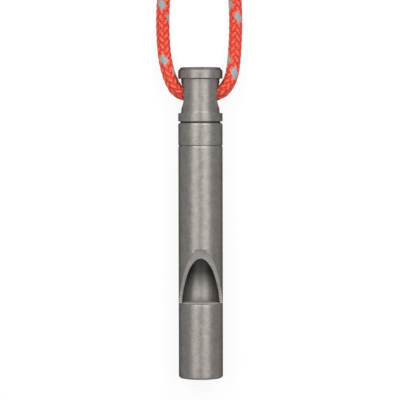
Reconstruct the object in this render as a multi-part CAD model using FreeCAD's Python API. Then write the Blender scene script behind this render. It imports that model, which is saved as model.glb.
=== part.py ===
import FreeCAD, Part
import math
import os

# A titanium survival whistle on a braided neck cord, lying on its side.
# Lengths are in millimetres. The whistle's axis runs along Y, from its mouth
# end at low Y to its head at high Y. The sound window faces up, and Z = 0 is
# the surface that the whistle and its cord lie on.

# Whistle and tube
whistle_length = 56.0
tube_diameter = 8.0
tube_wall = 0.5
mouth_edge_chamfer = 0.25

# Sound window, from its square ledge to the tip of its slanted cut, which
# starts this far above the whistle's axis
ledge_height = 13.5
window_length = 9.8
window_floor_height = 0.8
ledge_edge_break = 0.2

# Mouth block, with the flat that leaves the windway open above it
windway_depth_at_mouth = 1.3
windway_depth_at_ledge = 0.95
block_edge_chamfer = 0.15

# Head, turned from one bar
head_flange_height = 2.0
head_chamfer_along = 0.6
head_chamfer_across = 0.4
neck_height = 6.2
neck_depth = 0.55
neck_corner_relief = 0.25
base_flange_height = 1.45
flange_edge_break = 0.12
groove_height = 0.35
groove_depth = 0.4
collar_height = 3.9
collar_chamfer = 0.2

# Seam between the collar and the tube, and the spigot that closes the tube
seam_gap = 0.15
seat_ring_width = 0.1
spigot_length = 5.0
spigot_lead = 0.3
tube_end_chamfer_along = 0.55
tube_end_chamfer_across = 0.35

# Cord, and the hole that it passes through
cord_diameter = 2.5
cord_hole_clearance = 0.5
hole_countersink = 0.6

# Hank that holds the put-away length of the cord, its tie and its knot
hank_centre_x = 4.0
hank_start_y = 63.0
hank_run = 32.0
fold_radius = 7.5
waist_cords = 4
layers_under_knot = 3
layers_beside_knot = 1
tie_width = 4.0
tie_thickness = 0.6
knot_length = 10.0
knot_diameter = 8.0
knot_end_diameter = 5.0
knot_past_fold = 4.0

# Places that follow from the sizes
tube_radius = tube_diameter / 2
bore_radius = tube_radius - tube_wall
axis_z = tube_radius
neck_radius = tube_radius - neck_depth
neck_top = whistle_length - head_flange_height
neck_bottom = neck_top - neck_height
base_bottom = neck_bottom - base_flange_height
collar_top = base_bottom - groove_height
collar_bottom = collar_top - collar_height
tube_end = collar_bottom - seam_gap
cord_radius = cord_diameter / 2
hole_radius = cord_radius + cord_hole_clearance
hole_centre = neck_bottom + neck_height / 2


def along(distance):
    """Y of a place that lies this far from the mouth end."""
    return distance - whistle_length / 2


def turned(profile, start_angle=0, sweep=360):
    """Turn (distance from the mouth end, radius) points about the whistle's axis.

    A start angle of 0 is at the top, and a part turn runs towards +X.
    """
    points = [FreeCAD.Vector(0, along(distance), axis_z + radius) for distance, radius in profile]
    face = Part.Face(Part.makePolygon(points + points[:1]))
    centre = FreeCAD.Vector(0, 0, axis_z)
    face.rotate(centre, FreeCAD.Vector(0, 1, 0), start_angle)
    return face.revolve(centre, FreeCAD.Vector(0, 1, 0), sweep)


def side_prism(profile, width):
    """Extrude (distance from the mouth end, height over the axis) points across the tube."""
    points = [FreeCAD.Vector(-width / 2, along(distance), axis_z + height) for distance, height in profile]
    face = Part.Face(Part.makePolygon(points + points[:1]))
    return face.extrude(FreeCAD.Vector(width, 0, 0))


def make_body_tube():
    """The bored tube, with its chamfered ends and the sound window."""
    tube = turned(
        [
            (0, bore_radius),
            (0, tube_radius - mouth_edge_chamfer),
            (mouth_edge_chamfer, tube_radius),
            (tube_end - tube_end_chamfer_along, tube_radius),
            (tube_end, tube_radius - tube_end_chamfer_across),
            (tube_end, bore_radius),
        ]
    )
    slope = (tube_radius - window_floor_height) / window_length
    top = 2 * tube_radius
    window = side_prism(
        [
            (ledge_height, window_floor_height),
            (ledge_height, top),
            (ledge_height + (top - window_floor_height) / slope, top),
        ],
        2 * tube_diameter,
    )
    half_opening = math.degrees(math.acos(window_floor_height / (tube_radius - ledge_edge_break)))
    edge_break = turned(
        [
            (ledge_height - 2 * ledge_edge_break, tube_radius + ledge_edge_break),
            (ledge_height, tube_radius - ledge_edge_break),
            (ledge_height, tube_radius + ledge_edge_break),
        ],
        start_angle=-half_opening,
        sweep=2 * half_opening,
    )
    return tube.cut(window).cut(edge_break)


def make_mouth_block():
    """The block pressed into the mouth end, flat along its top to leave the windway."""
    block = turned(
        [
            (0, 0),
            (0, bore_radius - block_edge_chamfer),
            (block_edge_chamfer, bore_radius),
            (ledge_height, bore_radius),
            (ledge_height, 0),
        ]
    )
    windway = side_prism(
        [
            (0, bore_radius - windway_depth_at_mouth),
            (ledge_height, bore_radius - windway_depth_at_ledge),
            (ledge_height, tube_diameter),
            (0, tube_diameter),
        ],
        2 * tube_diameter,
    )
    return block.cut(windway)


def make_cord_hole():
    """The cross hole through the neck, countersunk at both mouths, as a cutter."""
    centre = FreeCAD.Vector(0, along(hole_centre), axis_z)
    mouth_radius = hole_radius + hole_countersink
    profile = [
        (-tube_radius, 0),
        (-tube_radius, mouth_radius),
        (-neck_radius, mouth_radius),
        (-neck_radius + hole_countersink, hole_radius),
        (neck_radius - hole_countersink, hole_radius),
        (neck_radius, mouth_radius),
        (tube_radius, mouth_radius),
        (tube_radius, 0),
    ]
    points = [centre + FreeCAD.Vector(x, 0, radius) for x, radius in profile]
    face = Part.Face(Part.makePolygon(points + points[:1]))
    return face.revolve(centre, FreeCAD.Vector(1, 0, 0), 360)


def make_head_stud():
    """The turned head: spigot, collar, groove, base flange, neck and head flange."""
    flange_corner = tube_radius - flange_edge_break
    stud = turned(
        [
            (tube_end - spigot_length, 0),
            (tube_end - spigot_length, bore_radius - spigot_lead),
            (tube_end - spigot_length + spigot_lead, bore_radius),
            (tube_end, bore_radius),
            (tube_end, bore_radius + seat_ring_width),
            (collar_bottom, bore_radius + seat_ring_width),
            (collar_bottom, tube_radius),
            (collar_top - collar_chamfer, tube_radius),
            (collar_top, tube_radius - collar_chamfer),
            (collar_top, tube_radius - groove_depth),
            (base_bottom, tube_radius - groove_depth),
            (base_bottom, flange_corner),
            (base_bottom + flange_edge_break, tube_radius),
            (neck_bottom - flange_edge_break, tube_radius),
            (neck_bottom, flange_corner),
            (neck_bottom, neck_radius + neck_corner_relief),
            (neck_bottom + neck_corner_relief, neck_radius),
            (neck_top - neck_corner_relief, neck_radius),
            (neck_top, neck_radius + neck_corner_relief),
            (neck_top, flange_corner),
            (neck_top + flange_edge_break, tube_radius),
            (whistle_length - head_chamfer_along, tube_radius),
            (whistle_length, tube_radius - head_chamfer_across),
            (whistle_length, 0),
        ]
    )
    return stud.cut(make_cord_hole())


# Route of each strand from the middle of the cord hole to the hank, chosen by
# hand: out of the hole's mouth, round towards the head and down to the surface
hole_y = along(hole_centre)
floor_z = cord_radius
left_route = [
    (0, hole_y, axis_z),
    (-3.7, hole_y, axis_z),
    (-5.6, 26.1, 3.1),
    (-6.7, 31.0, 1.6),
    (-6.85, 39.5, floor_z),
    (-5.6, 50.0, floor_z),
    (-3.5, 58.2, floor_z),
    (-3.5, hank_start_y, floor_z),
]
right_route = [
    (0, hole_y, axis_z),
    (3.2, hole_y, axis_z),
    (5.5, 25.4, 3.3),
    (6.2, 29.6, 2.1),
    (6.55, 37.3, floor_z),
    (5.9, 46.3, floor_z),
    (0.9, 54.0, floor_z),
    (-1.0, 58.6, floor_z),
    (-1.0, hank_start_y, floor_z),
]


def corner_arc(before, corner, after, radius):
    """The arc that rounds a corner, tangent to both of its sides."""
    back = (before - corner).normalize()
    ahead = (after - corner).normalize()
    half_angle = back.getAngle(ahead) / 2
    setback = radius / math.tan(half_angle)
    inward = (back + ahead).normalize()
    centre = corner + inward * (radius / math.sin(half_angle))
    return Part.Arc(corner + back * setback, centre - inward * radius, corner + ahead * setback)


def make_cord(name, route):
    """A plain tube along a route: straight runs, with arcs as large as the runs allow."""
    points = [FreeCAD.Vector(*point) for point in route]
    radii = []
    edges = []
    start = points[0]
    for before, corner, after in zip(points, points[1:], points[2:]):
        half_turn = (corner - before).getAngle(after - corner) / 2
        shorter = min(before.distanceToPoint(corner), corner.distanceToPoint(after))
        radii.append(0.45 * shorter / math.tan(half_turn))
        arc = corner_arc(before, corner, after, radii[-1])
        edges += [Part.LineSegment(start, arc.StartPoint).toShape(), arc.toShape()]
        start = arc.EndPoint
    edges.append(Part.LineSegment(start, points[-1]).toShape())
    path = Part.Wire(edges)
    ring = Part.Wire(Part.makeCircle(cord_radius, points[0], points[1] - points[0]))
    tube = path.makePipeShell([ring], True, False)
    filled = tube.Volume / (math.pi * cord_radius**2 * path.Length)
    print(name, "length", round(path.Length, 1), "volume over section times length", round(filled, 4))
    print(name, "arc radii", [round(radius, 1) for radius in radii])
    return tube


# The hank's outline: two rounded ends, with a waist where the tie holds it
hank_half_width = fold_radius + cord_radius
fold_centre_low = hank_start_y + hank_half_width
fold_centre_high = fold_centre_low + hank_run
waist_y = fold_centre_low + hank_run / 2
waist_half_width = waist_cords * cord_diameter / 2
knot_seat_height = layers_under_knot * cord_diameter
hank_height = knot_seat_height + layers_beside_knot * cord_diameter
knot_start_y = fold_centre_high + knot_past_fold - knot_length


def waist_band(grow, bottom):
    """A round-edged block across the waist, as wide as the tie."""
    half_width = waist_half_width + grow
    corner = FreeCAD.Vector(hank_centre_x - half_width, waist_y - tie_width / 2, bottom)
    block = Part.makeBox(2 * half_width, tie_width, hank_height + grow - bottom, corner)
    along_y = [edge for edge in block.Edges if abs(edge.tangentAt(edge.FirstParameter).y) > 0.5]
    return block.makeFillet(cord_radius + grow, along_y)


def make_cord_hank():
    """The folded cord as one closed solid, lower where the knot lies on it."""
    left = hank_centre_x - hank_half_width
    right = hank_centre_x + hank_half_width
    top = fold_centre_high + hank_half_width
    low_corner = FreeCAD.Vector(left, hank_start_y, 0)
    low_middle = FreeCAD.Vector(hank_centre_x, hank_start_y, 0)
    low_left = FreeCAD.Vector(left, fold_centre_low, 0)
    low_right = FreeCAD.Vector(right, fold_centre_low, 0)
    high_left = FreeCAD.Vector(left, fold_centre_high, 0)
    high_right = FreeCAD.Vector(right, fold_centre_high, 0)
    waist_left = FreeCAD.Vector(hank_centre_x - waist_half_width, waist_y, 0)
    waist_right = FreeCAD.Vector(hank_centre_x + waist_half_width, waist_y, 0)
    lean = hank_half_width * math.sqrt(0.5)
    low_bend = FreeCAD.Vector(hank_centre_x + lean, fold_centre_low - lean, 0)
    outline = Part.Wire(
        [
            Part.LineSegment(low_corner, low_middle).toShape(),
            Part.Arc(low_middle, low_bend, low_right).toShape(),
            Part.Arc(low_right, waist_right, high_right).toShape(),
            Part.Arc(high_right, FreeCAD.Vector(hank_centre_x, top, 0), high_left).toShape(),
            Part.Arc(high_left, waist_left, low_left).toShape(),
            Part.LineSegment(low_left, low_corner).toShape(),
        ]
    )
    hank = Part.Face(outline).extrude(FreeCAD.Vector(0, 0, hank_height))
    step = hank_height - knot_seat_height
    right_of_top_pair = FreeCAD.Vector(hank_centre_x + cord_diameter, hank_start_y, knot_seat_height)
    under_knot = FreeCAD.Vector(left, knot_start_y, knot_seat_height)
    hank = hank.cut(Part.makeBox(hank_half_width, top - hank_start_y, step, right_of_top_pair))
    hank = hank.cut(Part.makeBox(right - left, top - knot_start_y, step, under_knot))
    room = FreeCAD.Vector(left, waist_y - tie_width / 2, 0)
    hank = hank.cut(Part.makeBox(right - left, tie_width, hank_height, room))
    return hank.fuse(waist_band(0, tie_thickness)).removeSplitter()


def make_cord_tie():
    """The tie round the hank's waist."""
    return waist_band(tie_thickness, 0).cut(waist_band(0, tie_thickness))


def make_cord_knot():
    """The knot that joins the cord's two ends, lying on the hank's far end."""
    knot_radius = knot_diameter / 2
    end_radius = knot_end_diameter / 2
    start = FreeCAD.Vector(hank_centre_x, knot_start_y, knot_seat_height + knot_radius)
    profile = [
        (0, 0),
        (0, end_radius),
        (knot_length / 4, knot_radius),
        (knot_length * 3 / 4, knot_radius),
        (knot_length, end_radius),
        (knot_length, 0),
    ]
    points = [start + FreeCAD.Vector(radius, y, 0) for y, radius in profile]
    face = Part.Face(Part.makePolygon(points + points[:1]))
    return face.revolve(start, FreeCAD.Vector(0, 1, 0), 360)


parts = {
    "body_tube": make_body_tube(),
    "mouth_block": make_mouth_block(),
    "head_stud": make_head_stud(),
    "cord_left": make_cord("cord_left", left_route),
    "cord_right": make_cord("cord_right", right_route),
    "cord_hank": make_cord_hank(),
    "cord_tie": make_cord_tie(),
    "cord_knot": make_cord_knot(),
}

os.makedirs("parts", exist_ok=True)
for name, shape in parts.items():
    shape.exportStep(f"parts/{name}.step")
    print(name, "solids", len(shape.Solids), "valid", shape.isValid(), "mm3", round(shape.Volume, 1))
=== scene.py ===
# %% [markdown]
# A slim titanium survival whistle on a braided neck cord, seen from straight
# above on a white table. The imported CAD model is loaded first, as a fixed
# frame in metres: the whistle lies along Y with its sound window up, and the
# table is at Z = 0. Every finish and every soft piece is then made here.
# Lengths on the whistle and its cord are written in millimetres, and
# multiplied by `mm` where they are used.

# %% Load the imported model
import bpy, bmesh, math
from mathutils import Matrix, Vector


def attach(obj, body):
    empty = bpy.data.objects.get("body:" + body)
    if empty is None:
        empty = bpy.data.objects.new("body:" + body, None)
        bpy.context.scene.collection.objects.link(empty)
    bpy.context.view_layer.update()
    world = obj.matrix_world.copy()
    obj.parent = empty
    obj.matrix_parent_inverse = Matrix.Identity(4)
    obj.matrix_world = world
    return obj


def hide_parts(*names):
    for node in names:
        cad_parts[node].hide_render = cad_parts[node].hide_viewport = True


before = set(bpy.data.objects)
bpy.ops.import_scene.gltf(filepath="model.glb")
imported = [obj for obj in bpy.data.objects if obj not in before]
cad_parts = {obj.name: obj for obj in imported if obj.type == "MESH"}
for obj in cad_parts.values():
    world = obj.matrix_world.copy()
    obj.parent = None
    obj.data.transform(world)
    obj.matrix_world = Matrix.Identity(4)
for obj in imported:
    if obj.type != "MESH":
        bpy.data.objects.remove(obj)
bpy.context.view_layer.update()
mm = 0.001
print("nodes:", sorted(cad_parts))

# %% [markdown]
# The photograph looks almost straight down, from about 35 cm away, with a long
# lens. A real camera's place and focal length matter even for a product shot.
# This one stands above the whistle's head, so the ledge inside the sound
# window, which faces the head, turns a little of its face towards it. A tilt of
# 2.3 degrees then brings the whole whistle into the frame.

# %% Place the camera
def put(name, data):
    """A new object made from this data, in the scene."""
    thing = bpy.data.objects.new(name, data)
    bpy.context.scene.collection.objects.link(thing)
    return thing


camera_data = bpy.data.cameras.new("camera")
camera_data.sensor_width = 36
camera_data.lens = 174.5
camera_data.clip_start, camera_data.clip_end = 0.01, 10
camera = put("camera", camera_data)
camera.location = (-0.075 * mm, 18.2 * mm, 353.7 * mm)
camera.rotation_euler = [math.radians(angle) for angle in (-2.3035, 0, -0.12)]
bpy.context.scene.camera = camera
print("camera at", [round(x, 4) for x in camera.location])

# %% [markdown]
# The cord is one length of 2.5 mm braid. It passes through the head's cross
# hole, and its two ends are knotted together, so two strands leave the hole.
# Each is drawn as one NURBS line through a few given points. A NURBS
# line of order 3 touches each side of its control polygon halfway, which bends
# it as evenly as a soft cord bends.

# %% Draw a smooth line through chosen points
def smooth_line(name, points):
    """A curve object whose one NURBS spline has these points, in mm, as its control points."""
    curve = bpy.data.curves.new(name, "CURVE")
    curve.dimensions = "3D"
    curve.resolution_u = 20
    spline = curve.splines.new("NURBS")
    spline.points.add(len(points) - 1)
    for place, point in zip(spline.points, points):
        place.co = (*[value * mm for value in point], 1)
    spline.order_u = 3
    spline.use_endpoint_u = True
    return put(name, curve)


def finished_mesh(piece):
    """A plain copy of the mesh that an object's curve or modifiers make."""
    bpy.context.view_layer.update()
    evaluated = piece.evaluated_get(bpy.context.evaluated_depsgraph_get())
    return bpy.data.meshes.new_from_object(evaluated)


def points_along(line):
    """The points that the finished line passes through, in metres."""
    mesh = finished_mesh(line)
    points = [vertex.co.copy() for vertex in mesh.vertices]
    bpy.data.meshes.remove(mesh)
    return points


def length_of(points):
    """The length of the line through these points."""
    return sum((b - a).length for a, b in zip(points, points[1:]))


# %% [markdown]
# The picture shows only the first 18 mm of each strand, from the cross hole to
# the picture's edge. These points follow it: out of the hole, down to the
# table, and up the picture, until the two strands lie side by side.

# %% Route the part in view
cord_diameter = 2.5
floor_z = cord_diameter / 2
hole_y, axis_z = 22.9, 4.0

left_strand = [
    (0, hole_y, axis_z), (-3.7, hole_y, axis_z), (-5.6, 26.1, 3.1), (-6.7, 31.0, 1.6),
    (-6.85, 39.5, floor_z), (-5.6, 50.0, floor_z), (-3.5, 58.2, floor_z),
    (-3.5, 63.0, floor_z), (-3.5, 70.0, floor_z),
]
right_strand = [
    (0, hole_y, axis_z), (3.2, hole_y, axis_z), (5.5, 25.4, 3.3), (6.2, 29.6, 2.1),
    (6.55, 37.3, floor_z), (5.9, 46.3, floor_z), (0.9, 54.0, floor_z),
    (-1.0, 58.6, floor_z), (-1.0, 63.0, floor_z), (-1.0, 70.0, floor_z),
]
print("points in view:", len(left_strand), "left,", len(right_strand), "right")

# %% [markdown]
# The rest of the neck cord is put away in a flat hank just outside the view:
# the pair runs up the left side, round the far fold, back down the right side
# and round the near fold, three times, each turn a cord's thickness above the
# last. The tie pulls the sides together halfway. Points on a fold stand every
# 36 degrees, just outside the circle that the line then follows.

# %% Wind the hank
hank_x, near_fold_y, far_fold_y, waist_y = 4.0, 71.75, 103.75, 87.75
waist_reach = 3.5
waist_z = [1.8, 4.2, 6.6, 9.0]
far_angles = (162, 126, 90, 54, 18)
climb_at_angle = {-18: 0.35, -54: 0.65, -90: 0.92, -126: 1.0, -162: 1.0}


def hank_turns(radius, waist_x, ending):
    """Control points of three turns of the hank, then of the run up to the knot."""
    reach = radius / math.cos(math.radians(18))
    near, far = waist_y - waist_reach, waist_y + waist_reach
    left_x, right_x = hank_x - waist_x, hank_x + waist_x
    points = []
    for turn in range(3):
        z = floor_z + turn * cord_diameter
        points += [(left_x, near, waist_z[turn]), (left_x, far, waist_z[turn])]
        for angle in far_angles:
            a = math.radians(angle)
            points.append((hank_x + reach * math.cos(a), far_fold_y + reach * math.sin(a), z))
        points += [(right_x, far, waist_z[turn]), (right_x, near, waist_z[turn])]
        for angle, share in climb_at_angle.items():
            a = math.radians(angle)
            height = z + share * cord_diameter
            points.append((hank_x + reach * math.cos(a), near_fold_y + reach * math.sin(a), height))
    points += [(left_x, near, waist_z[3]), (left_x, far, waist_z[3])]
    return points + ending


left_ending = [(1.2, 94.0, 10.2), (2.75, 97.6, 11.5), (2.9, 99.8, 11.6)]
right_ending = [(3.8, 94.0, 10.2), (5.25, 97.6, 11.5), (5.1, 99.8, 11.6)]
left_line = smooth_line("left_line", left_strand + hank_turns(7.5, 3.75, left_ending))
right_line = smooth_line("right_line", right_strand + hank_turns(5.0, 1.25, right_ending))
left_path, right_path = points_along(left_line), points_along(right_line)
for label, path in (("left", left_path), ("right", right_path)):
    print(label, "strand", round(length_of(path), 4), "m")

# %% [markdown]
# A node tree is built here from small functions. `add` makes one node of any
# kind, and `calc` makes one Math node. Each takes plain numbers or the outputs
# of other nodes, so that a line of code reads like the formula it stands for.

# %% Build nodes and arithmetic
def add(tree, kind, links=(), **settings):
    """A node with its settings, and links or values given by input name or number."""
    node = tree.nodes.new(kind)
    for label, value in settings.items():
        setattr(node, label, value)
    for key, value in dict(links).items():
        if isinstance(value, bpy.types.NodeSocket):
            tree.links.new(value, node.inputs[key])
        else:
            node.inputs[key].default_value = value
    return node


def calc(tree, operation, *values):
    """The result of one Math node."""
    return add(tree, "ShaderNodeMath", enumerate(values), operation=operation).outputs[0]


def blend(tree, share, first, second):
    """First where share is 0, second where it is 1."""
    return calc(tree, "MULTIPLY_ADD", calc(tree, "SUBTRACT", second, first), share, first)


def hump(tree, value, power):
    """0 at 0 and 1, and 1 halfway between, with steeper sides for a smaller power."""
    both = calc(tree, "MULTIPLY", value, calc(tree, "SUBTRACT", 1, value))
    return calc(tree, "POWER", calc(tree, "MAXIMUM", calc(tree, "MULTIPLY", both, 4), 0), power)


# %% [markdown]
# The cover is a sixteen-carrier braid: eight yarns wind one way and eight the
# other, each passing over two and under two. Both helices make one turn in
# 10.4 mm, which is the braid's lead. The pattern is arithmetic on two numbers,
# the turn round the cord and the length along it, so the same few nodes can
# shape the mesh in Geometry Nodes and colour it in the shader. One carrier is a
# tracer, and each place where it comes to the surface is a slanted diamond.

# %% Work out the braid's pattern
yarns_each_way = 8
tracer_edge, tracer_width = 0.35, 1.7
tracer_start_shift, tracer_length = 0.15, 2.3


def within(tree, value, shift, period, limit):
    """1 where a value that repeats is inside its first part, else 0."""
    repeating = calc(tree, "FLOORED_MODULO", calc(tree, "ADD", value, shift), period)
    return calc(tree, "LESS_THAN", repeating, limit)


def weave(tree, turn, lead):
    """The pattern at a turn round the cord and a distance along it, in leads.

    It gives the height of the surface, the share of the way across the yarn on
    top, and 1 on the tracer. One way and other way count yarns.
    """
    one_way = calc(tree, "MULTIPLY", calc(tree, "ADD", turn, lead), yarns_each_way)
    other_way = calc(tree, "MULTIPLY", calc(tree, "SUBTRACT", turn, lead), yarns_each_way)
    one_cell, other_cell = calc(tree, "FLOOR", one_way), calc(tree, "FLOOR", other_way)
    step = calc(tree, "FLOORED_MODULO", calc(tree, "ADD", one_cell, other_cell), 4)
    other_on_top = calc(tree, "GREATER_THAN", step, 1.5)
    across = blend(tree, other_on_top, calc(tree, "FRACT", one_way), calc(tree, "FRACT", other_way))
    one_run = calc(tree, "FLOORED_MODULO", calc(tree, "ADD", one_cell, other_way), 4)
    other_run = calc(tree, "FLOORED_MODULO", calc(tree, "ADD", one_way, other_cell), 4)
    other_run = calc(tree, "SUBTRACT", other_run, 2)
    run = calc(tree, "MULTIPLY", blend(tree, other_on_top, one_run, other_run), 0.5)
    height = calc(tree, "MULTIPLY", hump(tree, across, 0.6), hump(tree, run, 0.3))
    in_width = within(tree, one_way, tracer_edge, yarns_each_way, tracer_width)
    in_length = within(tree, other_way, tracer_start_shift, 4, tracer_length)
    return height, across, calc(tree, "MULTIPLY", in_width, in_length)


# %% [markdown]
# Geometry Nodes sweep a ring along the line and press the braid's relief into
# the tube. The ring is an open arc whose ends meet, so that the UV map can run
# from 0 to 1 with no jump across the seam, and the seam is merged afterwards.

# %% Sweep the braided tube with nodes
braid_tree = bpy.data.node_groups.new("Braided cord", "GeometryNodeTree")
for label, kind in {
    "Geometry": "NodeSocketGeometry",
    "Line": "NodeSocketObject",
    "Diameter": "NodeSocketFloat",
    "Ring spacing": "NodeSocketFloat",
    "Sides": "NodeSocketInt",
    "Lead": "NodeSocketFloat",
    "Relief": "NodeSocketFloat",
    "Tracer turn": "NodeSocketFloat",
    "Tracer start": "NodeSocketFloat",
    "Material": "NodeSocketMaterial",
}.items():
    braid_tree.interface.new_socket(name=label, in_out="INPUT", socket_type=kind)
braid_tree.interface.new_socket(name="Geometry", in_out="OUTPUT", socket_type="NodeSocketGeometry")
braid_in = braid_tree.nodes.new("NodeGroupInput").outputs
braid_out = braid_tree.nodes.new("NodeGroupOutput").inputs


def store(geometry, name, value, data_type="FLOAT", domain="POINT"):
    """Keep a value on the cord's geometry under a name."""
    inputs = {"Geometry": geometry, "Name": name, "Value": value}
    node = add(braid_tree, "GeometryNodeStoreNamedAttribute", inputs, data_type=data_type, domain=domain)
    return node.outputs[0]


def stored(name):
    """Read back a value that was kept under a name."""
    return add(braid_tree, "GeometryNodeInputNamedAttribute", {"Name": name}, data_type="FLOAT").outputs[0]


line = add(braid_tree, "GeometryNodeObjectInfo", {"Object": braid_in["Line"]}, transform_space="RELATIVE")
rings = add(
    braid_tree, "GeometryNodeResampleCurve",
    {"Curve": line.outputs["Geometry"], "Length": braid_in["Ring spacing"]}, mode="LENGTH",
)
place = add(braid_tree, "GeometryNodeSplineParameter")
marked_line = store(rings.outputs[0], "along", place.outputs["Length"])
relief_room = calc(braid_tree, "MULTIPLY", braid_in["Relief"], 0.35)
half_width = calc(braid_tree, "MULTIPLY", braid_in["Diameter"], 0.5)
core_radius = calc(braid_tree, "SUBTRACT", half_width, relief_room)
ring = add(
    braid_tree, "GeometryNodeCurveArc",
    {
        "Resolution": braid_in["Sides"], "Radius": core_radius,
        "Start Angle": 0.0, "Sweep Angle": 2 * math.pi,
    },
    mode="RADIUS",
)
marked_ring = store(ring.outputs[0], "turn", place.outputs["Factor"])
swept = add(braid_tree, "GeometryNodeCurveToMesh", {"Curve": marked_line, "Profile Curve": marked_ring})
print("swept tube:", len(braid_tree.nodes), "nodes")

# %% [markdown]
# The tube now knows its turn and its length at every point. They become its UV
# map, and the same two numbers give the height of the yarn there. Set Position
# moves each point out or in along its normal by that height. The tracer is a
# flat tape, so its relief stays nearly level.

# %% Press the braid into the tube
turned_on = calc(braid_tree, "ADD", stored("turn"), braid_in["Tracer turn"])
leads = calc(braid_tree, "DIVIDE", stored("along"), braid_in["Lead"])
leads = calc(braid_tree, "ADD", leads, braid_in["Tracer start"])
flat = add(braid_tree, "ShaderNodeCombineXYZ", {"X": turned_on, "Y": leads})
mapped = store(swept.outputs[0], "UVMap", flat.outputs[0], data_type="FLOAT2", domain="CORNER")
height, across, tracer = weave(braid_tree, turned_on, leads)
raised = blend(braid_tree, tracer, height, 0.8)
lift = calc(braid_tree, "MULTIPLY", calc(braid_tree, "SUBTRACT", raised, 0.65), braid_in["Relief"])
normal = add(braid_tree, "GeometryNodeInputNormal").outputs[0]
outward = add(braid_tree, "ShaderNodeVectorMath", {0: normal, "Scale": lift}, operation="SCALE")
for kind, links in (
    ("GeometryNodeSetPosition", {"Offset": outward.outputs[0]}),
    ("GeometryNodeMergeByDistance", {"Distance": 0.03 * mm}),
    ("GeometryNodeSetShadeSmooth", {}),
    ("GeometryNodeRealizeInstances", {}),
    ("GeometryNodeSetMaterial", {"Material": braid_in["Material"]}),
):
    mapped = add(braid_tree, kind, {"Geometry": mapped, **links}).outputs[0]
braid_tree.links.new(mapped, braid_out["Geometry"])
print("braided tube:", len(braid_tree.nodes), "nodes")

# %% [markdown]
# The yarns are bright orange-red polyester. Their filaments show as fine
# ridges along each yarn. Their colour is painted lighter on each yarn's crest
# and each filament's top, a painted highlight, and darker in the gaps between
# yarns, a painted shade. The grey tracer is a reflective tape: where it comes
# to the surface it lies flat and smooth. The shader reads the cord's own UV
# map, so the colours bend with the cord.

# %% Make the braid's material
def new_material(name):
    """A node material, its tree and its Principled shader."""
    material = bpy.data.materials.new(name)
    material.use_nodes = True
    return material, material.node_tree, material.node_tree.nodes["Principled BSDF"]


def colour_ramp(tree, value, stops):
    """A colour for a value from 0 to 1."""
    ramp = add(tree, "ShaderNodeValToRGB", {"Fac": value})
    for element, (position, colour) in zip(ramp.color_ramp.elements, stops[:1] + stops[-1:]):
        element.position, element.color = position, (*colour, 1)
    for position, colour in stops[1:-1]:
        ramp.color_ramp.elements.new(position).color = (*colour, 1)
    return ramp.outputs["Color"]


def roughen(tree, shader, height, strength, depth):
    """Bump a shader's surface by a height, over a depth in mm."""
    inputs = {"Height": height, "Strength": strength, "Distance": depth * mm}
    tree.links.new(add(tree, "ShaderNodeBump", inputs).outputs[0], shader.inputs["Normal"])


braid, tree, shader = new_material("orange braid")
uv = add(tree, "ShaderNodeUVMap", uv_map="UVMap")
turn, lead, _ = add(tree, "ShaderNodeSeparateXYZ", {0: uv.outputs[0]}).outputs
height, across, tracer = weave(tree, turn, lead)
filaments = hump(tree, calc(tree, "FRACT", calc(tree, "MULTIPLY", across, 3)), 0.5)
finer = {"X": calc(tree, "MULTIPLY", turn, 30), "Y": calc(tree, "MULTIPLY", lead, 40)}
finer = add(tree, "ShaderNodeCombineXYZ", finer).outputs[0]
flecks = {"Vector": finer, "Scale": 1.0, "Detail": 3.0, "Roughness": 0.6}
flecks = add(tree, "ShaderNodeTexNoise", flecks).outputs[0]

# Painted light: each yarn's crest and each filament's top are painted lighter, as highlight, and the gaps
# darker, as shade. The flecks vary the tone at random.
crest_highlight = calc(tree, "POWER", height, 3)
light = calc(tree, "MULTIPLY_ADD", crest_highlight, 0.3, calc(tree, "MULTIPLY", filaments, 0.14))
light = calc(tree, "ADD", light, calc(tree, "MULTIPLY_ADD", flecks, 1.1, -0.2))
orange = [(0.28, (0.275, 0.0075, 0.005)), (0.54, (0.57, 0.03, 0.016)), (0.85, (0.94, 0.155, 0.066))]
grey = [(0.3, (0.225, 0.23, 0.235)), (0.7, (0.32, 0.32, 0.32))]
colours = {6: colour_ramp(tree, light, orange), 7: colour_ramp(tree, flecks, grey)}
shown = add(tree, "ShaderNodeMix", {"Factor": tracer, **colours}, data_type="RGBA")
tree.links.new(shown.outputs[2], shader.inputs["Base Color"])
tree.links.new(blend(tree, tracer, 0.62, 0.5), shader.inputs["Roughness"])
shader.inputs["Sheen Weight"].default_value = 0.05
shader.inputs["Specular IOR Level"].default_value = 0.35

bumps = calc(tree, "MULTIPLY_ADD", height, 0.5, calc(tree, "MULTIPLY", filaments, 0.3))
bumps = calc(tree, "ADD", bumps, calc(tree, "MULTIPLY", flecks, 0.35))
roughen(tree, shader, blend(tree, tracer, bumps, 1.0), 0.9, 0.12)
print("braid material:", len(tree.nodes), "nodes")

# %% [markdown]
# A Geometry Nodes modifier sits on an empty mesh object and reads the line
# through its Object input. The result is copied into a plain mesh, and the
# modifier goes. The two open ends of a tube are closed with a small cap. The
# last two numbers turn and slide the pattern, so that the tracer's diamonds
# come up where the photograph shows them.

# %% Make the braided strands
def close_ends(piece):
    """Close a tube's open ends and turn every face outwards."""
    work = bmesh.new()
    work.from_mesh(piece.data)
    bmesh.ops.holes_fill(work, edges=[edge for edge in work.edges if edge.is_boundary])
    bmesh.ops.recalc_face_normals(work, faces=work.faces)
    work.to_mesh(piece.data)
    work.free()


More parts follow.
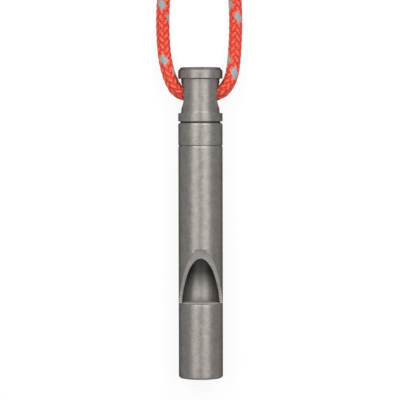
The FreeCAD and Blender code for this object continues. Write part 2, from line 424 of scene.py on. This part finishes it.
def braided_tube(name, line, ring_spacing, tracer_turn=0.0, tracer_start=0.0):
    """A braided cord along a line, which is used up."""
    values = {
        "Line": line, "Diameter": cord_diameter * mm, "Ring spacing": ring_spacing * mm, "Sides": 37,
        "Lead": 10.4 * mm, "Relief": 0.16 * mm, "Tracer turn": tracer_turn,
        "Tracer start": tracer_start, "Material": braid,
    }
    piece = put(name, bpy.data.meshes.new(name))
    modifier = piece.modifiers.new(name, "NODES")
    modifier.node_group = braid_tree
    for socket in braid_tree.interface.items_tree:
        if socket.name in values:
            modifier[socket.identifier] = values[socket.name]
    braided = finished_mesh(piece)
    piece.modifiers.remove(modifier)
    piece.data = braided
    close_ends(piece)
    bpy.data.objects.remove(line)
    print(name, len(piece.data.polygons), "faces")
    return piece


left_cord = braided_tube("left_cord", left_line, 0.16, -0.656, -0.024)
right_cord = braided_tube("right_cord", right_line, 0.15, -0.684, 0.221)

# %% [markdown]
# The whistle's own parts are turned and milled titanium, blasted to a fine
# satin grain. Metal has almost no colour of its own: what makes it look right
# is how far each highlight spreads, so roughness and a very fine bump do the
# work. Five finishes share one recipe. The blasted outside. The bored inside,
# whose colour darkens towards the head as painted shade. The faced end of the
# mouth block, whose faced finish is real but whose lighter colour is painted
# light. The milled faces of the sound window, with the cutter's fine lines.
# The floor of the groove, painted dark as shade.

# %% Make the metal's finishes
# The bore's painted shade starts at the first Y, in mm, and is darkest from the second on.
painted_shade_starts, painted_shade_ends = -13.5, -9.0


def metal(name, colour, roughness, grain, cutter_lines=0.0, darkens_to=1.0):
    """Bare metal. In the bore a painted shade darkens it, along Y, towards the head."""
    material, tree, shader = new_material(name)
    where = add(tree, "ShaderNodeTexCoord").outputs["Object"]
    fine = {"Vector": where, "Scale": 4200.0, "Detail": 2.0, "Roughness": 0.7}
    fine = add(tree, "ShaderNodeTexNoise", fine).outputs[0]
    broad = add(tree, "ShaderNodeTexNoise", {"Vector": where, "Scale": 900.0, "Detail": 2.0}).outputs[0]
    height = calc(tree, "MULTIPLY_ADD", fine, 0.7, calc(tree, "MULTIPLY", broad, 0.3))
    darker, lighter = [[c * share for c in colour] for share in (0.72, 1.28)]
    tint = colour_ramp(tree, height, [(0.32, darker), (0.68, lighter)])
    # Painted shade: the colour darkens along Y towards the head.
    if darkens_to < 1:
        place = add(tree, "ShaderNodeSeparateXYZ", {0: where}).outputs["Y"]
        painted_shade = {0: place, 1: painted_shade_starts * mm, 2: painted_shade_ends * mm, 3: 1.0, 4: darkens_to}
        painted_shade = add(tree, "ShaderNodeMapRange", painted_shade).outputs[0]
        tint = add(tree, "ShaderNodeVectorMath", {0: tint, "Scale": painted_shade}, operation="SCALE").outputs[0]
    tree.links.new(tint, shader.inputs["Base Color"])
    shader.inputs["Metallic"].default_value = 1.0
    shader.inputs["Specular Tint"].default_value = (0.3, 0.3, 0.3, 1)
    rough = calc(tree, "MULTIPLY_ADD", fine, 0.16, roughness - 0.08)
    tree.links.new(rough, shader.inputs["Roughness"])
    if cutter_lines:
        lines = {"Vector": where, "Scale": 1400.0, "Distortion": 0.6}
        lines = add(tree, "ShaderNodeTexWave", lines, bands_direction="Y")
        height = calc(tree, "MULTIPLY_ADD", lines.outputs["Fac"], cutter_lines, height)
    roughen(tree, shader, height, grain, 0.05)
    return material


blasted = metal("blasted titanium", (0.163, 0.1512, 0.1412), 0.38, 0.12)
bored = metal("bored titanium", (0.25, 0.235, 0.22), 0.42, 0.05, darkens_to=0.2)
# The faced end is a real finish, but its lighter colour is painted light on that face.
faced_painted_light = metal("faced titanium", (0.44, 0.4125, 0.385), 0.85, 0.3)
milled = metal("milled titanium", (0.235, 0.22, 0.205), 0.5, 0.25, cutter_lines=0.5)
# The groove's floor is painted nearly black, as painted shade in the narrow groove.
groove_painted_shade = metal("groove floor painted shade", (0.045, 0.043, 0.04), 0.5, 0.3)
print("finishes:", [finish.name for finish in (blasted, bored, faced_painted_light, milled, groove_painted_shade)])

# %% [markdown]
# A lathe makes every piece of this whistle, so a small lathe in code makes
# them here: a list of corners, each with its own rounding, is turned about the
# whistle's axis. The rounding matters. A real edge is never sharp, and the
# thin bright line that it catches is what shows the eye where one face ends.

# %% Round the corners of a profile
def rounded(corners, steps=4, closed=False):
    """Replace each (place, radius, rounding) corner by the points of an arc."""
    points = []
    for number, (place, radius, rounding) in enumerate(corners):
        corner = Vector((place, radius))
        inner = 0 < number < len(corners) - 1
        if not rounding or not (inner or closed):
            points.append(corner)
            continue
        before = Vector(corners[number - 1][:2]) - corner
        after = Vector(corners[(number + 1) % len(corners)][:2]) - corner
        half_angle = before.angle(after) / 2
        setback = min(rounding / math.tan(half_angle), 0.45 * before.length, 0.45 * after.length)
        reach = setback * math.tan(half_angle)
        before, after = before.normalized(), after.normalized()
        first, last = corner + before * setback, corner + after * setback
        centre = corner + (before + after).normalized() * (reach / math.sin(half_angle))
        for step in range(steps + 1):
            spoke = (first - centre).lerp(last - centre, step / steps)
            points.append(centre + spoke.normalized() * reach)
    return points


# %% [markdown]
# The profile becomes rings of points, and faces join each ring to the next. A
# long straight run gets extra rings. A later cut then leaves no face so long
# that smooth shading would stretch a highlight across it.

# %% Turn a profile into a mesh
half_length = 28.0
segments, ring_step = 144, 0.7


def ring_mesh(name, rings, closed, material):
    """A mesh from rings of equal numbers of points; a ring of one point is a pole."""
    work = bmesh.new()
    rings = [[work.verts.new([value * mm for value in point]) for point in ring] for ring in rings]
    pairs = list(zip(rings, rings[1:])) + ([(rings[-1], rings[0])] if closed else [])
    for first, second in pairs:
        for k in range(max(len(first), len(second))):
            around = (first, k), (first, k + 1), (second, k + 1), (second, k)
            corners = [ring[n % len(ring)] for ring, n in around]
            work.faces.new(list(dict.fromkeys(corners)))
    bmesh.ops.recalc_face_normals(work, faces=work.faces)
    mesh = bpy.data.meshes.new(name)
    work.to_mesh(mesh)
    work.free()
    mesh.materials.append(material)
    return put(name, mesh)


def turned(name, points, material, closed=False, about_x=None):
    """Turn profile points about the whistle's axis, or about a line along X at a given Y."""
    filled, rings = [], []
    following = points[1:] + (points[:1] if closed else [])
    for point, after in zip(points, following):
        parts = math.ceil((Vector(after) - Vector(point)).length / ring_step)
        filled += [Vector(point).lerp(Vector(after), part / parts) for part in range(parts)]
    for place, radius in filled + ([] if closed else points[-1:]):
        count = segments if radius > 1e-6 else 1
        angles = [2 * math.pi * k / segments for k in range(count)]
        spokes = [(radius * math.sin(a), axis_z + radius * math.cos(a)) for a in angles]
        if about_x is None:
            rings.append([(side, place - half_length, z) for side, z in spokes])
        else:
            rings.append([(place, about_x + side, z) for side, z in spokes])
    return ring_mesh(name, rings, closed, material)


# %% [markdown]
# A cutter is a solid that Boolean takes away from a turned piece. Its material
# stays on the faces that it leaves. At the end a small bevel breaks the sharp
# edges, and weighted normals keep the shading of the large faces flat.

# %% Cut, finish and break edges
def shape_by(piece, kind, **settings):
    """Add a modifier with these settings, keep what it makes, and take it off again."""
    modifier = piece.modifiers.new(kind.lower(), kind)
    for label, value in settings.items():
        setattr(modifier, label, value)
    shaped = finished_mesh(piece)
    piece.modifiers.remove(modifier)
    piece.data = shaped


def across_whistle(name, outline, half_width, material):
    """A solid along X, with this outline of places and heights above the axis."""
    ends = [
        [(x, place - half_length, axis_z + height) for place, height in outline]
        for x in (-half_width, half_width)
    ]
    solid = ring_mesh(name, ends, False, material)
    close_ends(solid)
    return solid


def cut_away(piece, cutter):
    """Subtract one closed piece from another, and take its finish on the cut faces."""
    shape_by(
        piece, "BOOLEAN", operation="DIFFERENCE", solver="EXACT", material_mode="TRANSFER", object=cutter,
    )
    bpy.data.objects.remove(cutter)


def finish_where(piece, material, chosen):
    """Give a finish to the faces whose middle, as a place and a radius, is chosen."""
    piece.data.materials.append(material)
    for face in piece.data.polygons:
        x, y, z = [value / mm for value in face.center]
        if chosen(y + half_length, math.hypot(x, z - axis_z)):
            face.material_index = len(piece.data.materials) - 1


def finish_edges(piece):
    """Break the edges that the cuts left sharp, and shade the rest smoothly."""
    sharp = math.radians(38)
    shape_by(piece, "BEVEL", width=0.05 * mm, segments=2, limit_method="ANGLE", angle_limit=sharp)
    piece.data.shade_smooth()
    piece.data.set_sharp_from_angle(angle=sharp)
    shape_by(piece, "WEIGHTED_NORMAL", keep_sharp=True)
    finishes = [material.name for material in piece.data.materials]
    print(piece.name, len(piece.data.polygons), "faces, finishes", finishes)


# %% [markdown]
# The body is an 8 mm tube with a half-millimetre wall. Places along it are
# counted from its mouth end. Over its last half millimetre it narrows a little,
# and that shallow cone brightens the seam between tube and head.

# %% Turn the tube
tube_radius, bore, tube_end, ledge = 4.0, 3.5, 42.03, 13.5
rim_width, rim_depth = 0.35, 0.1
tube_profile = [
    (0, bore, 0.08), (0, 3.75, 0.08), (0.25, tube_radius, 0.2), (ledge - rim_width, tube_radius, 0),
    (tube_end - 0.5, tube_radius, 0.1), (tube_end, 3.86, 0.03), (tube_end, bore, 0.03),
]
tube = turned("whistle_tube", rounded(tube_profile, closed=True), blasted, closed=True)
finish_where(tube, bored, lambda place, radius: radius < bore + 0.02)
print("tube:", len(tube.data.polygons), "faces before the window is cut")

# %% [markdown]
# The sound window is cut by a slanted plane that starts 0.8 mm above the axis
# at the square ledge and leaves the tube 9.8 mm further on. Near the ledge the
# cutter left small steps, each shallower than the last, which show as a fine
# comb on the cut's narrow ends.

# %% Cut the sound window
cut_height, cut_length, past_the_tube = 0.8, 9.8, 22
teeth, tooth_pitch, tooth_depth = 7, 0.36, 0.075
slope = (tube_radius - cut_height) / cut_length


def cut_at(distance):
    """The cut's height above the axis at a distance from the ledge."""
    return cut_height + slope * distance


window_outline = [(ledge, cut_height)]
for k in range(teeth):
    distance = 0.12 + tooth_pitch * k
    height, depth = cut_at(distance), tooth_depth * (1 - k / 8)
    window_outline += [
        (ledge + distance, height + 0.01),
        (ledge + distance + 0.14, height + 0.03 - depth),
        (ledge + distance + 0.22, height + 0.05 - depth),
    ]
window_outline += [
    (ledge + 2.9, cut_at(2.9)), (ledge + past_the_tube, cut_at(past_the_tube)),
    (ledge, cut_at(past_the_tube)),
]
cut_away(tube, across_whistle("window", window_outline, 6, milled))

# %% [markdown]
# The ledge's own upper edge is broken into a narrow, very shallow cone: its
# points move a tenth of a millimetre towards the axis, and less near the cut's
# two low ends. The cone leans towards the lamps and catches both.

# %% Break the ledge's edge
for vertex in tube.data.vertices:
    x, y, z = [value / mm for value in vertex.co]
    place, z = y + half_length, z - axis_z
    if abs(place - ledge) < 0.01 and math.hypot(x, z) > tube_radius - 0.05 and z > cut_height:
        kept = 1 - rim_depth / tube_radius * min(1, (z - cut_height) / 0.8)
        vertex.co.x, vertex.co.z = x * kept * mm, (axis_z + z * kept) * mm
finish_edges(tube)

# %% [markdown]
# The mouth block is a plain plug with a flat along its top. The slot between
# that flat and the tube is the windway, which guides the breath onto the
# window's slanted edge.

# %% Make the mouth block
block_radius = 3.47
block_profile = [(0, 0, 0), (0, block_radius, 0.15), (ledge, block_radius, 0.05), (ledge, 0, 0)]
block = turned("mouth_plug", rounded(block_profile), bored)
flat_outline = [(-1, 2.2 - 0.026), (ledge + 1, 2.55 + 0.026), (ledge + 1, 6), (-1, 6)]
cut_away(block, across_whistle("slot", flat_outline, 5, bored))
# Partly painted light: the block's end face takes the faced finish, whose lighter colour stands in for
# light falling on it.
finish_where(block, faced_painted_light, lambda place, radius: place > ledge - 0.1)
finish_edges(block)

# %% [markdown]
# The head is one turned piece. Inside the tube it has a spigot. From the tube
# upwards it has a collar, a narrow groove, a thin flange, the neck that the
# cord passes through, and the head flange with its chamfer. The collar's upper
# edge and the neck's foot are shallow cones, which catch a bright line.

# %% Turn the head
spigot_radius, groove_radius, neck_radius = 3.46, 3.62, 3.45
head_profile = [
    # the spigot and the seam
    (37.0, 0, 0), (37.0, 3.1, 0.1), (37.4, spigot_radius, 0.1), (41.99, spigot_radius, 0.02),
    (41.99, 3.56, 0.02), (42.05, 3.56, 0.02),
    # the collar and the groove
    (42.05, tube_radius, 0.03), (45.66, tube_radius, 0.1), (46.0, 3.87, 0.03),
    (46.0, groove_radius, 0.02), (46.32, groove_radius, 0.02),
    # the thin flange and the neck
    (46.32, tube_radius, 0.05), (47.8, tube_radius, 0.05), (47.8, 3.54, 0),
    (48.08, neck_radius, 0.05), (54.0, neck_radius, 0.2),
    # the head flange and its chamfer
    (54.0, tube_radius, 0.08), (55.42, tube_radius, 0.3), (56.0, 3.52, 0.06), (56.0, 0, 0),
]
head = turned("whistle_head", rounded(head_profile), blasted)
# Painted shade: the groove's floor takes the nearly black finish.
finish_where(head, groove_painted_shade, lambda place, radius: 45.9 < place < 46.4 and radius < 3.8)
print("head:", len(head.data.polygons), "faces before the cross hole is cut")

# %% [markdown]
# The cross hole is cut by another turned piece, which lies along X. It widens
# at both mouths, so that no sharp edge wears the cord, and the wide part takes
# a little off the neck's two sides.

# %% Cut the cross hole
hole_radius, mouth_radius, mouth_depth, past_the_neck = 1.75, 2.35, 2.85, 6
right_half = [
    (mouth_depth, hole_radius, 0.3), (neck_radius, mouth_radius, 0),
    (past_the_neck, mouth_radius, 0), (past_the_neck, 0, 0),
]
left_half = [(-x, radius, rounding) for x, radius, rounding in reversed(right_half)]
cut_away(head, turned("hole", rounded(left_half + right_half), blasted, about_x=hole_y))
finish_edges(head)

# %% [markdown]
# The cord's two ends meet in a barrel knot: three round turns of the same
# braid, with both strands going in at one end and two short tails coming out
# at the other. Tight turns touch, so the line climbs by exactly one cord
# diameter a turn. It starts and ends near the knot's middle line, where the
# turns hide it. The tails rest on the hank's fold.

# %% Tie the knot
knot_x, knot_z, knot_start, wrap_radius = 4.0, 11.5, 99.0, 2.75
steps_a_turn = 12
reach = wrap_radius / math.cos(math.pi / steps_a_turn)
wraps = [(knot_x, knot_start + 1.4, knot_z - 1.2)]
for step in range(3 * steps_a_turn + 5):
    angle = 2 * math.pi * step / steps_a_turn
    place = knot_start + cord_diameter * step / steps_a_turn
    wraps.append((knot_x + reach * math.sin(angle), place, knot_z - reach * math.cos(angle)))
wraps.append((knot_x, knot_start + 2.6 * cord_diameter, knot_z + 0.6))
knot_lines = {
    "knot_turns": wraps,
    "left_tail": [(3.0, 103.5, 11.7), (2.8, 106.5, 11.6), (2.5, 108.6, 10.4), (2.0, 111.3, 8.95)],
    "right_tail": [(5.0, 103.5, 11.7), (5.2, 106.5, 11.6), (5.5, 108.9, 10.3), (6.3, 111.6, 8.95)],
}
knot_pieces = []
for name, points in knot_lines.items():
    knot_pieces.append(braided_tube(name, smooth_line(name + "_line", points), 0.25))

# %% [markdown]
# A black twist tie holds the waist of the hank. It is a flat plastic ribbon
# with a wire along its middle, which shows as a rib. The ribbon is a closed
# ring of cross sections that follows the rounded outline of the bundled
# strands, nine sections to each of its four corners.

# %% Wrap the tie
black, tree, shader = new_material("black tie")
where = add(tree, "ShaderNodeTexCoord").outputs["Object"]
grain = add(tree, "ShaderNodeTexNoise", {"Vector": where, "Scale": 2500.0, "Detail": 3.0}).outputs[0]
tint = colour_ramp(tree, grain, [(0.35, (0.012, 0.012, 0.012)), (0.65, (0.032, 0.031, 0.03))])
tree.links.new(tint, shader.inputs["Base Color"])
tree.links.new(calc(tree, "MULTIPLY_ADD", grain, 0.3, 0.3), shader.inputs["Roughness"])
roughen(tree, shader, grain, 0.4, 0.05)

band_section = [
    (-2.0, 0.0), (-2.0, 0.12), (-1.9, 0.16), (-0.6, 0.17), (-0.42, 0.3), (-0.2, 0.42),
    (0.2, 0.42), (0.42, 0.3), (0.6, 0.17), (1.9, 0.16), (2.0, 0.12), (2.0, 0.0),
]
band_corner = 1.5
left, right = -1.08 + band_corner, 9.08 - band_corner
bottom, top = 0.42 + band_corner, 10.28 - band_corner
rings = []
for x, z, first_angle in ((right, top, 0), (left, top, 90), (left, bottom, 180), (right, bottom, 270)):
    for step in range(9):
        a = math.radians(first_angle + 90 * step / 8)
        rings.append([
            (x + (band_corner + out) * math.cos(a), waist_y + across, z + (band_corner + out) * math.sin(a))
            for across, out in band_section
        ])
tie_band = ring_mesh("tie_band", rings, True, black)

# %% [markdown]
# The tie's two ends are twisted together and lie flat on top. Each is a small
# section that winds about the twist's middle line. They start sunk into the
# ribbon, and spread apart over the last fifth of their length.

# %% Twist the tie's ends
end_section = [
    (-0.75, 0.0), (-0.6, 0.14), (0.0, 0.26), (0.6, 0.14),
    (0.75, 0.0), (0.6, -0.14), (0.0, -0.26), (-0.6, -0.14),
]
twist_start, twist_length, twist_steps = 4.0, 6.0, 60
twist_pitch, twist_radius, twist_z = 3.2, 0.33, 11.55
tie_ends = []
for name, half_turn in (("left_tie_end", 0), ("right_tie_end", 1)):
    rings = []
    for step in range(twist_steps + 1):
        x = twist_start + twist_length * step / twist_steps
        a = 2 * math.pi * (x - twist_start) / twist_pitch + math.pi * half_turn
        spread = twist_radius * (1 + 1.6 * max(0, step - 48) / 12)
        sunk = 0.5 * max(0, 10 - step) / 10
        y, z = waist_y + spread * math.cos(a), twist_z - sunk + spread * math.sin(a)
        rings.append([
            (x, y - across * math.sin(a) + out * math.cos(a), z + across * math.cos(a) + out * math.sin(a))
            for across, out in end_section
        ])
    tie_ends.append(ring_mesh(name, rings, False, black))
    close_ends(tie_ends[-1])
for piece in (tie_band, *tie_ends):
    piece.data.shade_smooth()
    piece.data.set_sharp_from_angle(angle=math.radians(50))
    print(piece.name, len(piece.data.polygons), "faces")

# %% [markdown]
# The photograph's ground is pure white. Light Path tells a material which kind
# of ray has met it: here the camera, and rays that reflect in metal or pass
# through glass, see an even white, while rays that only carry soft light see
# an ordinary pale table and a dimmer room. The table mixes that white with its
# own lit surface, so the whistle keeps its shadow on it. Metal sees more of
# the lit surface than the camera does, which keeps the whistle's sides dark.

# %% Lay the table and surround it with white
glow_in_view, glow_in_metal = 0.88, 0.5
dim_room, white_room = 0.05, 1.0


def seen_directly(tree):
    """1 for camera, glossy and transmission rays, 0 for the rest."""
    path = add(tree, "ShaderNodeLightPath").outputs
    first = calc(tree, "MAXIMUM", path["Is Camera Ray"], path["Is Glossy Ray"])
    return calc(tree, "MAXIMUM", first, path["Is Transmission Ray"])


table_mesh = bpy.data.meshes.new("table")
table_mesh.from_pydata([(-3, -3, 0), (3, -3, 0), (3, 3, 0), (-3, 3, 0)], [], [(0, 1, 2, 3)])
table = put("table", table_mesh)
white, tree, shader = new_material("white table")
shader.inputs["Base Color"].default_value = (0.93, 0.93, 0.93, 1)
shader.inputs["Roughness"].default_value = 0.9
shader.inputs["Specular IOR Level"].default_value = 0.1
glow = add(tree, "ShaderNodeEmission", {"Color": (1, 1, 1, 1), "Strength": 1.0})
in_view = add(tree, "ShaderNodeLightPath").outputs["Is Camera Ray"]
share = calc(tree, "MULTIPLY_ADD", in_view, glow_in_view - glow_in_metal, glow_in_metal)
share = calc(tree, "MULTIPLY", seen_directly(tree), share)
mixed = add(tree, "ShaderNodeMixShader", {0: share, 1: shader.outputs[0], 2: glow.outputs[0]})
tree.links.new(mixed.outputs[0], tree.nodes["Material Output"].inputs["Surface"])
table_mesh.materials.append(white)

world = bpy.data.worlds.new("world")
world.use_nodes = True
tree = world.node_tree
strength = blend(tree, seen_directly(tree), dim_room, white_room)
tree.nodes["Background"].inputs["Color"].default_value = (1, 1, 1, 1)
tree.links.new(strength, tree.nodes["Background"].inputs["Strength"])
bpy.context.scene.world = world
bpy.context.scene.view_settings.view_transform = "Standard"
print("table and room:", glow_in_view, "of the table's white is even glow")

# %% [markdown]
# Two long soft lamps lean over the whistle from the left and the right. Each
# shows as a soft bright line along the tube, with a slightly darker line
# between them, and that is how the eye knows that the tube is round. Two more
# stand lower, beyond the head, and brighten the edges that face them. Here the
# places and sizes are in metres, and the power is in watts.

# %% Set the lamps
def soft_lamp(name, place, facing, size, power):
    """A rectangular lamp. Facing points from what it lights towards the lamp."""
    data = bpy.data.lights.new(name, "AREA")
    data.shape, data.size, data.size_y = "RECTANGLE", *size
    data.energy = power
    lamp = put(name, data)
    lamp.location = place
    lamp.rotation_euler = Vector(facing).to_track_quat("Z", "Y").to_euler()
    print(name, round(power, 2), "W")


for side, label, power in ((-1, "left", 2.1), (1, "right", 2.25)):
    above, leaning = (side * 0.225, 0.24, 0.445), (side * 0.49, 0, 0.87)
    soft_lamp(label + "_lamp", above, leaning, (0.76, 0.32), power)
    beyond = (side * 0.235, 0.433, 0.342)
    soft_lamp(label + "_far_lamp", beyond, beyond, (0.2, 0.4), 0.4 * power)

# %% [markdown]
# Every piece rides on the one body, and the imported nodes that it stands for
# are hidden.

# %% Hand the pieces over
for piece, node in ((tube, "body_tube"), (block, "mouth_block"), (head, "head_stud")):
    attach(piece, "root")
    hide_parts(node)

for piece in knot_pieces:
    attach(piece, "root")
    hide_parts("cord_knot")
for piece in (tie_band, *tie_ends):
    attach(piece, "root")
    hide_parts("cord_tie")

for piece, path, node in ((left_cord, left_path, "cord_left"), (right_cord, right_path, "cord_right")):
    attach(piece, "root")
    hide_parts(node, "cord_hank")
    side = -1 if node == "cord_left" else 1
